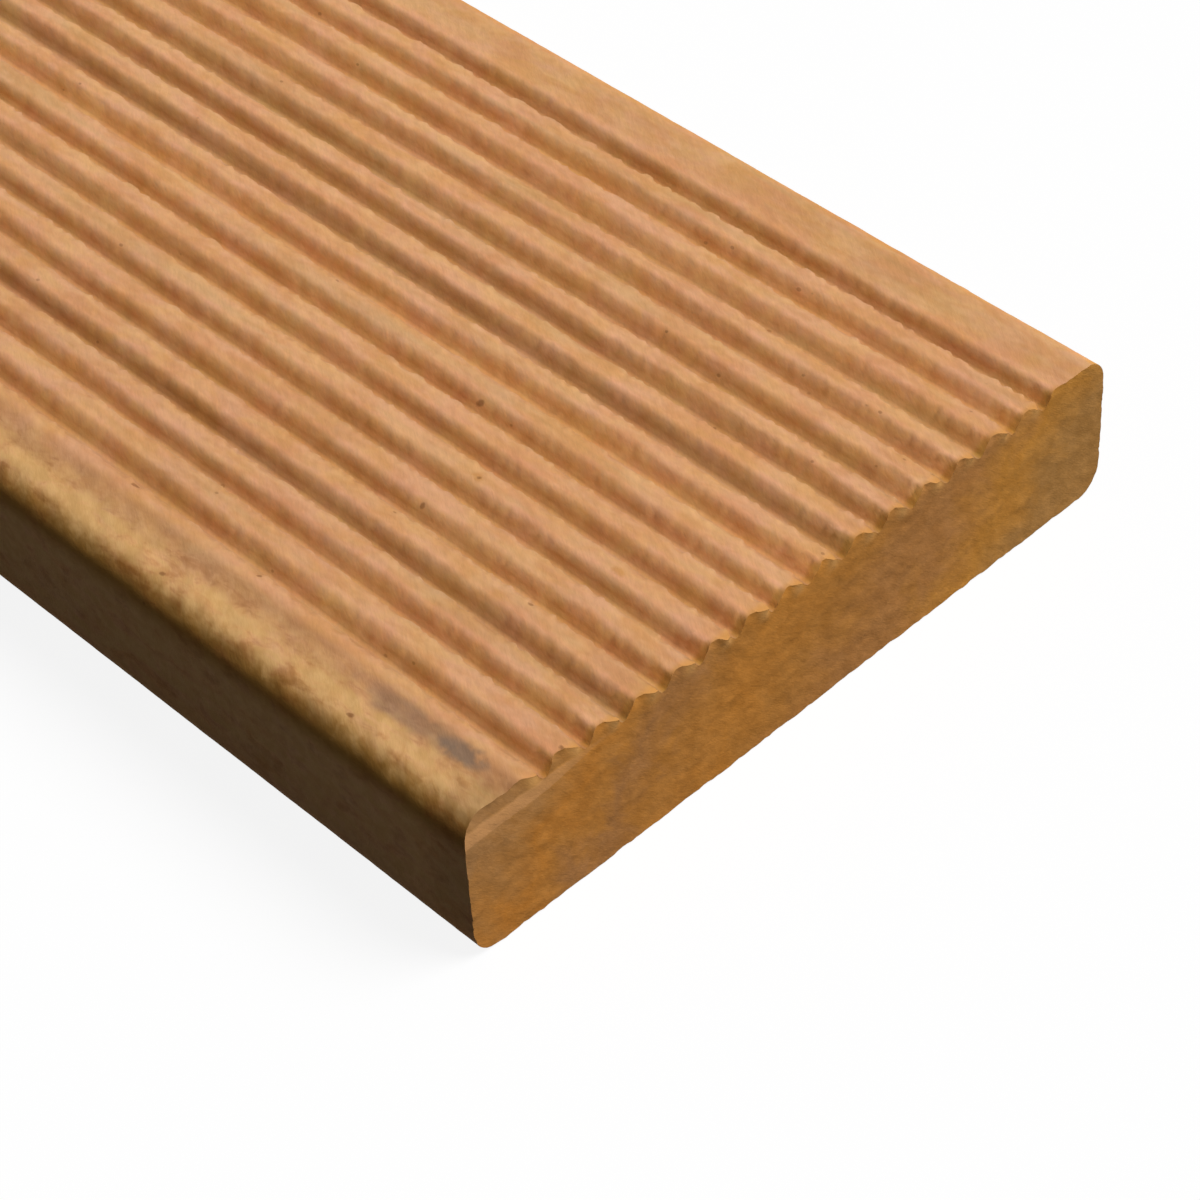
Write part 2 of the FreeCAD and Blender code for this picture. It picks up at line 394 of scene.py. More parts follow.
def cutDepth(y, z):
    # How far the cut in view lies from the board's full length: it leans back, its corner
    # and its ridges' ends are broken, and torn tips stand out from it
    lean = np.tan(np.radians(sawnEnd["lean"]))
    lost = cornerBreak(y, z) + ridgeBreak(y, z) - ridgeBurrs(y, z)
    return sawnEnd["inset"] + lean * z + lost - endRoughness(y, z, 40)


def grooveTone(loop, onFace):
    # Where a point of the outline lies in the reeding, as three shares: on a crown, most at
    # its near shoulder, which takes painted light; on the wall that faces the far side down
    # to the root, which takes painted shade; and on the wall that faces the near side. The
    # fourth column says how light each groove's near wall is painted, painted shade that
    # differs from groove to groove
    offset = nearestGroove(loop[:, 0])
    dip = boardThickness - loop[:, 1]
    crown = smoothStep(0.5, 0.2, dip) * smoothStep(6, 4, np.abs(offset))
    crown = crown * (0.26 + 0.74 * bell(offset - 2.5, 0.8) - 0.2 * bell(offset + 2.5, 0.5))
    farWall = smoothStep(-2.9, -1.2, offset) * smoothStep(0.9, 0.4, offset)
    nearWall = smoothStep(0.08, 0.6, dip) * smoothStep(-0.6, 0.3, offset)
    # How light each near wall is painted: painted shade that differs from groove to groove
    shade = np.interp(loop[:, 0], grooveCentres() + 1.5, section["wallPaintedShades"]) - 1
    tone = np.stack([crown, farWall, nearWall, shade * nearWall], axis=1) * onFace[:, None]
    return tone + (0, 0, 0, 1)


def tornStray(X, y0, z0, rows):
    # Sideways shift of the grooves' walls: torn noise and a slower swelling on the
    # shoulders, held back where they would hang over the groove, and a foot moved in
    # under the walls that face the far side
    dip = boardThickness - z0
    offset = nearestGroove(y0)
    lanes = np.broadcast_to(y0, X.shape)
    length, width, finerLength, finerWidth = relief["raggedSize"]
    finer = valueNoise(X / finerLength, lanes / finerWidth, 94)
    torn = 0.85 * np.tanh(1.3 * (valueNoise(X / length, lanes / width, 93) + 0.4 * finer))
    slow = valueNoise(X / relief["unevenLength"], rows, 96)
    nearSide = relief["raggedNear"] * torn + relief["uneven"] * slow
    overhang = relief["overhang"]
    nearSide = np.where(nearSide < 0, overhang * np.tanh(nearSide / overhang), nearSide)
    shoulder = smoothStep(1.5, 0.3, dip) * smoothStep(4.0, 2.3, np.abs(offset))
    foot = smoothStep(0.4, 2.2, dip) * smoothStep(0.45, -0.35, offset)
    stray = shoulder * np.where(offset > 0, nearSide, relief["raggedFar"] * torn)
    return stray - section["farFlankLean"] * foot


def faceDrop(X, A, even, y0, z0, nz, rows):
    # How much lower the face lies than the plain section: crowns planed off in places, the
    # near margin worn down with a slope beside the first groove, and the tips bent down
    sag = valueNoise(X / section["sagLength"], rows - 0.5, 92) * 0.5 + 0.5
    fromNear = y0 + boardWidth / 2
    nearEdgeShare = 1 - smoothStep(*section["marginRise"], fromNear)
    drop = section["crownSag"] * sag + section["marginDrop"] * nearEdgeShare * np.clip(nz, 0, 1)
    drop = drop + sawnEnd["droop"] * tipShare(nearestGroove(y0)) * bell(even, sawnEnd["droopReach"])
    drop = drop - smallPits(X, A) * smoothStep(0.2, 0, boardThickness - z0)
    wear = layeredNoise(X, A, *relief["marginWear"], 97)
    return drop - wear * smoothStep(*relief["wearFade"], fromNear)


def skinRows(away, loop, around, onFace):
    # Cross-sections of the board at these distances from the sawn end, in millimetres.
    # Towards each end they take the shape of the cut
    y0, z0, ny, nz = loop[:, :4].T
    even, A = np.meshgrid(away, around, indexing="ij")
    face = np.broadcast_to(onFace, even.shape)
    X = even + cutDepth(y0, z0) * bell(even, sawnEnd["reach"])
    X = X - (sawnEnd["inset"] + endRoughness(y0, z0, 60)) * bell(boardLength - even, sawnEnd["reach"])

    # Each groove lies a little off its even place, and strays on from there along the
    # board by a slow noise that has one row of its lattice on each groove
    rows = np.broadcast_to(y0 / section["groovePitch"] + 200, X.shape)
    stray = laneShift(y0) + section["grooveWander"] * valueNoise(X / section["wanderLength"], rows, 91)
    stray = stray + tornStray(X, y0, z0, rows)
    inside = smoothStep(0, 6, boardWidth / 2 - section["arrisRadius"] - np.abs(y0))
    Y = y0 + stray * inside * face

    # The sides and the underside stay within the plain board
    height = surfaceRelief(X, A, face) - relief["skinDepth"]
    height = height - faceDrop(X, A, even, y0, z0, nz, rows) * face
    height = np.where(face, height, np.minimum(height + 0.02, 0))
    # The outline of the cut is chipped, less and less along the board
    chips = np.clip(layeredNoise(X, A, *sawnEnd["jagged"], 95), 0, None)
    height = height - chips * bell(X, sawnEnd["jaggedReach"]) * ~face
    # The face is lifted straight up, so that it can't fold over itself
    Y = Y + height * np.where(face, 0, ny)
    Z = z0 + height * np.where(face, np.clip(np.abs(nz) + 0.2, 0, 1), nz)
    return np.clip(np.stack([boardHigh[0] - X, Y, Z], axis=-1), boardLow, boardHigh)


def capPoints(ring, spacing, seed):
    # Points inside a ring, on a jittered grid kept clear of the ring
    rng = np.random.default_rng(seed)
    ys = np.arange(-boardWidth / 2, boardWidth / 2, spacing)
    zs = np.arange(0, boardThickness, spacing)
    y, z = (grid.ravel() for grid in np.meshgrid(ys, zs))
    jitter = mesh["capJitter"] * spacing
    y = y + rng.uniform(-1, 1, y.shape) * jitter
    z = z + rng.uniform(-1, 1, z.shape) * jitter
    gap = np.full(y.shape, np.inf)
    for start in range(0, len(ring), 16):
        part = ring[start:start + 16]
        apart = np.hypot(y[:, None] - part[None, :, 0], z[:, None] - part[None, :, 1])
        gap = np.minimum(gap, apart.min(axis=1))
    # Even-odd rule: a point is inside if a ray to the far side crosses the ring an odd
    # number of times
    a, b = ring, np.roll(ring, -1, axis=0)
    spans = (a[:, 1][None, :] > z[:, None]) != (b[:, 1][None, :] > z[:, None])
    rise = np.where(b[:, 1] == a[:, 1], 1e-9, b[:, 1] - a[:, 1])
    crossing = a[:, 0] + (z[:, None] - a[:, 1]) / rise * (b[:, 0] - a[:, 0])
    inside = (spans & (crossing > y[:, None])).sum(axis=1) % 2 == 1
    keep = inside & (gap > 0.5 * spacing)
    return np.stack([y[keep], z[keep]], axis=1)


def capFaces(ring, inner):
    # Triangles that fill the ring through the inner points
    flat = np.vstack([ring, inner])
    n = len(ring)
    edges = np.stack([np.arange(n), (np.arange(n) + 1) % n], axis=1)
    result = delaunay_2d_cdt(flat.tolist(), edges.tolist(), [], 1, 1e-6)
    source = np.array([origin[0] for origin in result[3]])
    return source[np.array(result[2])]


def tubeFaces(stations, n, first):
    # Four-sided faces between neighbouring cross-sections of n points
    s, k = np.meshgrid(np.arange(stations - 1), np.arange(n), indexing="ij")
    nextK = (k + 1) % n
    faces = np.stack([s * n + k, s * n + nextK, (s + 1) * n + nextK, (s + 1) * n + k], axis=-1)
    return first + faces.reshape(-1, 4)


def joinFaces(kept, fineStart, coarseStart):
    # Triangles between the last fine cross-section and the first one with fewer points:
    # each fine step is joined to the kept point behind it, and each kept step closes them
    n = len(kept)
    owner = np.cumsum(kept) - 1
    fine = np.arange(n)
    spokes = np.stack([fineStart + fine, fineStart + (fine + 1) % n, coarseStart + owner], axis=1)
    places = np.flatnonzero(kept)
    after = np.roll(places, -1)
    index = np.arange(len(places))
    nextIndex = (index + 1) % len(places)
    closing = np.stack([fineStart + after, coarseStart + nextIndex, coarseStart + index], axis=1)
    return np.vstack([spokes, closing])


def nearCap(ring):
    # Inner points of the cut in view, which lie at its depth, and its triangles
    inner = capPoints(ring, mesh["capSpacing"], 40)
    x = boardHigh[0] - cutDepth(inner[:, 0] - laneShift(inner[:, 0]), inner[:, 1])
    return np.column_stack([x, inner]), capFaces(ring, inner)


def farCap(ring):
    # The same for the other end, which is plain but for the saw's roughness
    inner = capPoints(ring, mesh["farCapSpacing"], 60)
    x = boardLow[0] + sawnEnd["inset"] + endRoughness(*inner.T, 60)
    return np.column_stack([x, inner]), capFaces(ring, inner)


bakeMap = {
    "name": "OFBake",
    "margin": 0.01,
    "skinFoot": 0.165,  # the skin's part of the map starts here
    "skinHeight": 0.83,
    "falloff": 160.0,  # millimetres over which the end in view gets more room
    "evenShare": 0.28,  # share of the room that goes to the whole length evenly
    "capFoot": 0.005,
    "nearCap": (0.01, 0.75),  # left edge and width
    "farCap": (0.79, 0.19),
}


def flatPlaces(vertices, around, fineCount, coarseCount, kept):
    # The skin laid out flat: across the map goes the way round the section, up it the way
    # along the length, with most room for the end in view
    total = around[-1] + around[1] - around[0]
    margin, falloff = bakeMap["margin"], bakeMap["falloff"]
    across = around / total * (1 - 2 * margin) + margin
    rounds = np.concatenate([np.tile(across, fineCount), np.tile(across[kept], coarseCount)])
    away = boardHigh[0] - vertices[:len(rounds), 0]
    spread = (1 - np.exp(-away / falloff)) / (1 - np.exp(-boardLength / falloff))
    even = bakeMap["evenShare"]
    up = ((1 - even) * spread + even * away / boardLength) * bakeMap["skinHeight"] + bakeMap["skinFoot"]
    return np.stack([rounds, up], axis=1)


def cornerPlaces(places, faces):
    # The map's places for each face's corners; a face across the seam stays in one piece
    spots = places[faces]
    across = spots[..., 0]
    seam = (across.max(axis=1) - across.min(axis=1) > 0.5)[:, None] & (across < 0.5)
    spots[..., 0] = across + (1 - 2 * bakeMap["margin"]) * seam
    return spots.reshape(-1, 2)


def capPlaces(vertices, faces, left, width):
    # An end seen straight on, shrunk to a width of the map
    spots = vertices[faces.ravel()]
    scale = width / boardWidth
    return np.stack([left + (spots[:, 1] - boardLow[1]) * scale,
                     bakeMap["capFoot"] + spots[:, 2] * scale], axis=1)


def newMesh(name, vertices, faces, sideFaces):
    # A smooth mesh of arrays of faces; those after the sides' take the second material
    corners = np.concatenate([part.ravel() for part in faces])
    sizes = np.concatenate([np.full(len(part), part.shape[1]) for part in faces])
    starts = np.concatenate([[0], np.cumsum(sizes)[:-1]])
    data = bpy.data.meshes.new(name)
    data.vertices.add(len(vertices))
    data.vertices.foreach_set("co", (vertices * mm).ravel())
    data.loops.add(len(corners))
    data.loops.foreach_set("vertex_index", corners.astype(np.int32))
    data.polygons.add(len(sizes))
    data.polygons.foreach_set("loop_start", starts.astype(np.int32))
    data.polygons.foreach_set("material_index", (np.arange(len(sizes)) >= sideFaces).astype(np.int32))
    data.polygons.foreach_set("use_smooth", np.ones(len(sizes), bool))
    data.update(calc_edges=True)
    data.validate()
    print(name, "has", len(vertices), "points and", (sizes - 2).sum(), "triangles")
    return data


def sharpenRing(data, n):
    # Steep edges are sharp, and so is the ring of the first n points, round the cut
    data.set_sharp_from_angle(angle=np.radians(50))
    pairs = np.empty(2 * len(data.edges), np.int32)
    data.edges.foreach_get("vertices", pairs)
    sharp = np.empty(len(data.edges), bool)
    layer = data.attributes["sharp_edge"].data
    layer.foreach_get("value", sharp)
    layer.foreach_set("value", sharp | (pairs.reshape(-1, 2) < n).all(axis=1))


def buildBoard():
    loop, facePoints = sectionLoop()
    gaps = np.hypot(*np.diff(loop[:, :2], axis=0, append=loop[:1, :2]).T)
    around = np.concatenate([[0], np.cumsum(gaps[:-1])])
    # The face's roughness runs on over the upper part of both arrises
    arrisShare = 10
    onFace = np.zeros(len(loop), bool)
    onFace[:facePoints + arrisShare] = True
    onFace[-arrisShare:] = True
    kept = loop[:, 4] > 0.5
    fineAway, coarseAway = stationPlaces()
    fine = skinRows(fineAway, loop, around, onFace)
    coarse = skinRows(coarseAway, loop[kept], around[kept], onFace[kept])
    n, m = fine.shape[1], coarse.shape[1]
    count = len(fine) * n
    total = count + len(coarse) * m

    # The cut itself starts a little inside the outline
    lip = fine[0] - sawnEnd["lip"] * np.column_stack([np.zeros(n), loop[:, 2:4]])
    nearSpots, nearFaces = nearCap(lip[:, 1:])
    farSpots, farFaces = farCap(coarse[-1][:, 1:])
    nearPlace = total + np.arange(n + len(nearSpots))
    farPlace = np.concatenate([total - m + np.arange(m), nearPlace[-1] + 1 + np.arange(len(farSpots))])
    vertices = np.vstack([fine.reshape(-1, 3), coarse.reshape(-1, 3), lip, nearSpots, farSpots])
    vertices = np.clip(vertices, boardLow, boardHigh)

    quads = np.vstack([tubeFaces(len(fine), n, 0), tubeFaces(len(coarse), m, count)])
    join = joinFaces(kept, count - n, count)
    index = np.arange(n)
    after = (index + 1) % n
    rim = np.stack([total + index, total + after, after, index], axis=1)
    nearEnd, farEnd = nearPlace[nearFaces], farPlace[farFaces][:, ::-1]
    data = newMesh("boardSkin", vertices, [quads, join, rim, nearEnd, farEnd], len(quads) + len(join))
    sharpenRing(data, n)

    # The tone of the reeding, which places its painted light and shade, and on the cut in
    # view where the torn tips are, which take painted light
    tone = np.tile((0.0, 0.0, 0.0, 1.0), (len(vertices), 1))
    onRing = grooveTone(loop, onFace)
    tone[:total] = np.vstack([np.tile(onRing, (len(fine), 1)), np.tile(onRing[kept], (len(coarse), 1))])
    onCut = vertices[nearPlace, 1]
    tone[nearPlace, 0] = tipShare(nearestGroove(onCut - laneShift(onCut)))
    layer = data.attributes.new("grooveTone", "FLOAT_VECTOR", "POINT")
    layer.data.foreach_set("vector", tone[:, :3].ravel())
    layer = data.attributes.new("wallPaintedShade", "FLOAT", "POINT")
    layer.data.foreach_set("value", tone[:, 3])

    places = flatPlaces(vertices, around, len(fine), len(coarse), kept)
    maps = [cornerPlaces(places, quads), cornerPlaces(places, join)]
    maps += [capPlaces(vertices, faces, *bakeMap["nearCap"]) for faces in (rim, nearEnd)]
    maps.append(capPlaces(vertices, farEnd, *bakeMap["farCap"]))
    layer = data.uv_layers.new(name=bakeMap["name"])
    layer.data.foreach_set("uv", np.vstack(maps).ravel())
    return newObject("reededBoard", data)


def newObject(name, data):
    made = bpy.data.objects.new(name, data)
    bpy.context.scene.collection.objects.link(made)
    return made


def emptyTree(owner):
    owner.use_nodes = True
    owner.node_tree.nodes.clear()
    return owner.node_tree


def addNode(kind, inputs=None, tree=None, **settings):
    # A shader node in the tree of the sockets that feed it, or in a given one
    inputs = inputs or {}
    sockets = [value for value in inputs.values() if isinstance(value, bpy.types.NodeSocket)]
    tree = tree or sockets[0].id_data
    node = tree.nodes.new("ShaderNode" + kind)
    for name, value in settings.items():
        setattr(node, name, value)
    for name, value in inputs.items():
        if isinstance(value, bpy.types.NodeSocket):
            tree.links.new(value, node.inputs[name])
        else:
            node.inputs[name].default_value = value
    return node


def calc(operation, *values):
    return addNode("Math", dict(enumerate(values)), operation=operation).outputs[0]


def product(*values):
    total = values[0]
    for value in values[1:]:
        total = calc("MULTIPLY", total, value)
    return total


def swayed(base, wave, amount):
    # A value moved to and fro by a noise, within a stretch of this length
    return calc("MULTIPLY_ADD", calc("SUBTRACT", wave, 0.5), amount, base)


def ramp(value, low, high, start=0.0, end=1.0):
    # Carries a value from one range to another along a smooth step
    inputs = {"Value": value, "From Min": low, "From Max": high, "To Min": start, "To Max": end}
    return addNode("MapRange", inputs, interpolation_type="SMOOTHSTEP").outputs["Result"]


def between(value, low, high, fade):
    # 1 from low to high, fading out over a distance beyond them
    rise = ramp(value, low - fade, low)
    return calc("MULTIPLY", rise, ramp(value, high + fade, high))


def mixColour(amount, a, b, blend="MIX"):
    inputs = {0: amount, 6: a, 7: b}
    return addNode("Mix", inputs, data_type="RGBA", blend_type=blend).outputs[2]


def span(value, places):
    # A mask between two places, or over the stretch that three values give
    return (between if len(places) == 3 else ramp)(value, *places)


def tinted(amount, colour, tint):
    return mixColour(amount, colour, tint, "MULTIPLY")


def shaded(colour, value, darkest, lightest, spread=0.16):
    # The colour times a factor that goes from one tint to another as a noise rises
    # through its middle range
    factor = mixColour(ramp(value, 0.5 - spread, 0.5 + spread), darkest, lightest)
    return tinted(1.0, colour, factor)


def layered(colour, look, layers):
    # Lays named tones over a colour, each by the product of its masks and its strength: a
    # tint multiplies what is below it, and any other tone covers it
    for name, *masks in layers:
        blend = "MULTIPLY" if name in look["tints"] else "MIX"
        tone = look["tints"].get(name) or look[name]
        colour = mixColour(product(*masks), colour, tone, blend)
    return colour


def stretched(place, size, turn=(0, 0, 0), shift=(0, 0, 0)):
    # Coordinates counted in pattern sizes, each given in millimetres, after a turn
    node = addNode("Mapping", {"Vector": place}, vector_type="TEXTURE")
    node.inputs["Scale"].default_value = [s * mm for s in size]
    node.inputs["Rotation"].default_value = np.radians(turn)
    node.inputs["Location"].default_value = [s * mm for s in shift]
    return node.outputs[0]


def noise(place, detail=2.0, roughness=0.5, distortion=0.0):
    inputs = {"Vector": place, "Scale": 1.0, "Detail": detail, "Roughness": roughness,
              "Distortion": distortion}
    return addNode("TexNoise", inputs).outputs[0]


def pattern(place, grain, **layout):
    # Noise on stretched coordinates; its grain is how detailed, rough and distorted it is
    return noise(stretched(place, **layout), *grain)


def attribute(tree, name, output):
    return addNode("Attribute", tree=tree, attribute_name=name).outputs[output]


def parts(vector):
    return addNode("SeparateXYZ", {0: vector}).outputs


def inMillimetres(place):
    scaled = addNode("VectorMath", {0: place, "Scale": 1 / mm}, operation="SCALE")
    return parts(scaled.outputs[0])


def rgb(red, green, blue):
    # A colour written as it looks on screen, from 0 to 255, turned into light
    values = np.array([red, green, blue]) / 255
    light = np.where(values <= 0.04045, values / 12.92, ((values + 0.055) / 1.055) ** 2.4)
    return (*light.tolist(), 1.0)


def grey(level):
    return (level, level, level, 1.0)


def tornFibreGroup():
    # Short slanting fibres: a light and dark shade and a height, each the sum of a wide
    # noise and a closer one
    group = bpy.data.node_groups.new("tornFibre", "ShaderNodeTree")
    sockets = (("Place", "INPUT", "NodeSocketVector"), ("Shade", "OUTPUT", "NodeSocketFloat"),
               ("Height", "OUTPUT", "NodeSocketFloat"))
    for name, side, kind in sockets:
        group.interface.new_socket(name, in_out=side, socket_type=kind)
    place = group.nodes.new("NodeGroupInput").outputs["Place"]
    finish = group.nodes.new("NodeGroupOutput")
    closeness = (2.7, 3.1, 2.9)
    close = addNode("VectorMath", {0: place, 1: closeness}, operation="MULTIPLY").outputs[0]
    wide = noise(place, 2.0, 0.55, 0.3)
    narrow = noise(close, 2.0, 0.6, 0.2)
    for name, share in (("Shade", 0.6), ("Height", 0.5)):
        total = calc("MULTIPLY_ADD", wide, share, calc("MULTIPLY", narrow, 1 - share))
        group.links.new(total, finish.inputs[name])
    return group


def fibreShaded(group, place, colour, look):
    # The fibres, and the colour with their light and dark
    fibres = addNode("Group", {"Place": stretched(place, **look["fibre"])}, node_tree=group).outputs
    low, high = grey(1 - look["fibreContrast"]), grey(1 + look["fibreContrast"])
    return fibres, shaded(colour, fibres["Shade"], low, high)


slantTurn = (0, 0, relief["tearSlant"])

faceFinish = {
    "pink": rgb(220, 161, 115),
    "yellow": rgb(221, 166, 108),
    "olive": rgb(205, 159, 106),
    "dark": (0.95, 0.895, 0.81, 1.0),
    "bright": (1.05, 1.105, 1.19, 1.0),
    "nearWallRed": (1.03, 0.935, 0.8, 1.0),
    "nearWallOlive": (1.0, 0.97, 0.79, 1.0),
    "marginYellow": rgb(218, 171, 110),
    "marginBrown": rgb(188, 133, 90),
    "scuffDark": (0.95, 0.92, 0.88, 1.0),
    "scuffLight": (1.05, 1.06, 1.1, 1.0),
    "brokenEdge": rgb(212, 149, 76),
    "fleck": rgb(112, 66, 30),
    "fleckless": 0.985,  # share of the cells without a fleck
    "stain": rgb(118, 104, 92),
    "orangeMark": rgb(206, 142, 74),
    "tints": {
        # Painted light: crowns lighter, most at their near shoulders, which turn from the sun
        "crownPaintedLight": (1.27, 1.2, 1.33, 1.0),
        # Painted shade: the walls that face the far side and the groove roots darker
        "farWallPaintedShade": (0.75, 0.76, 0.78, 1.0),
        "blots": (0.83, 0.79, 0.74, 1.0),
        # Painted shade along the near arris, where it turns into the shaded side
        "arris": (0.5, 0.42, 0.22, 1.0),
        "grime": (0.62, 0.61, 0.62, 1.0),
        "side": (0.87, 0.865, 0.92, 1.0),
        "firstRidges": grey(0.95),
        # Painted light on the near walls by the open end
        "openEndPaintedLight": (1.22, 1.22, 1.15, 1.0),
        "tornWall": (0.83, 0.83, 0.58, 1.0),
        # Painted shade on the groove roots right at the cut
        "rootPaintedShade": (0.88, 0.83, 0.7, 1.0),
    },
    "fibre": {"size": (3.6, 1.1, 1.6), "turn": slantTurn},
    "fibreContrast": 0.05,
    "roughness": 0.88,
    "bump": 0.2,
    "bumpDepth": 0.4,
}

# Size and shift in millimetres, turn in degrees, and how detailed, rough and distorted
facePatterns = {
    "warm": {"size": (11.0, 6.0, 7.0), "shift": (31, 0, 0), "grain": (3.0, 0.72, 0.4)},
    "light": {"size": (12.0, 5.0, 6.0), "shift": (77, 5, 0), "grain": (3.0, 0.72, 0.3)},
    "streak": {"size": (60.0, 5.5, 9.0), "grain": (2.0, 0.55, 0.4)},
    "wall": {"size": (6.0, 5.0, 5.0), "shift": (11, 3, 2), "grain": (2.0, 0.7, 0.3)},
    "mottle": {"size": (6.5, 3.0, 4.0), "shift": (5, 2, 9), "grain": (3.0, 0.65, 0.4)},
    "scuff": {"size": (3.4, 1.8, 2.2), "turn": slantTurn, "grain": (2.0, 0.6, 0.4)},
}
fleckSize = (2.6, 1.8, 1.8)

# Where tones begin and where they are full, in millimetres. Three values are a stretch of
# full tone and how far it fades beyond that
fromNearSide = {"margin": (11, 8), "strip": (8.9, 11.3, 2.2), "scuffs": (13, 10), "blots": (12, 9),
                "arris": (4.6, 0.8), "grime": (13, 9), "ridges": (12, 14), "firstRidges": (75, 20),
                "broken": (15, 132, 3), "flecks": (96, 118, 12)}
fromEnd = {"grime": (13, 4), "opened": (8, 2), "torn": (3.8, 2.4), "broken": (3.2, 1.6), "flecks": (80, 20)}
heights = {"upper": (2, 8), "side": (25, 20), "broken": (26.2, 27.0), "flecks": 24}

# Stains and small marks: colour, raggedness and strength, then for each the millimetres
# from the sawn end and from the near side, its length and its width
marks = (
    ("stain", 1.2, 0.7, ((12.6, 10.4, 5.4, 2.3),)),
    ("stain", 1.2, 0.4, ((23.0, 10.2, 15.0, 2.6),)),
    ("orangeMark", 1.4, 0.55, ((53.9, 53.1, 1.5, 1.3), (22.8, 53.2, 2.0, 1.1))),
    ("fleck", 1.4, 0.55, (
        (53.8, 53.1, 0.5, 0.4), (56.0, 43.0, 0.6, 0.5), (27.4, 39.0, 0.6, 0.45),
        (92.0, 14.4, 0.7, 0.5), (62.0, 14.4, 0.6, 0.5), (73.4, 4.6, 0.7, 0.5),
        (30.2, 4.4, 0.7, 0.5), (67.5, 66.6, 0.8, 0.5), (2.6, 21.0, 0.9, 0.6))),
)


def newMaterial(name):
    material = bpy.data.materials.new(name)
    tree = emptyTree(material)
    return material, tree, addNode("TexCoord", tree=tree).outputs["Object"]


def finishMaterial(colour, fibres, look):
    # Wood of a colour, with a bump and a roughness that follow the fibres
    inputs = {"Height": fibres["Height"], "Strength": look["bump"], "Distance": look["bumpDepth"] * mm}
    bump = addNode("Bump", inputs).outputs[0]
    rough, change = look["roughness"], 0.05
    rough = ramp(fibres["Shade"], 0.3, 0.7, rough + change, rough - change)
    inputs = {"Base Color": colour, "Normal": bump, "Roughness": rough, "Specular IOR Level": 0.12}
    addNode("OutputMaterial", {0: addNode("BsdfPrincipled", inputs).outputs[0]})


def spotMask(place, start, across, length, width, wobble):
    # 1 inside a small ragged oval on the face, fading to 0 at its edge
    centre = (boardHigh[0] - start, boardLow[1] + across, boardThickness)
    local = stretched(place, (length, width, 100.0), shift=centre)
    shaken = noise(stretched(place, (0.9 + length * 0.3,) * 3))
    push = calc("MULTIPLY", calc("SUBTRACT", shaken, 0.5), wobble)
    local = addNode("VectorMath", {0: local, 1: push}, operation="ADD").outputs[0]
    distance = addNode("VectorMath", {0: local}, operation="LENGTH").outputs["Value"]
    return ramp(distance, 1.1, 0.4)


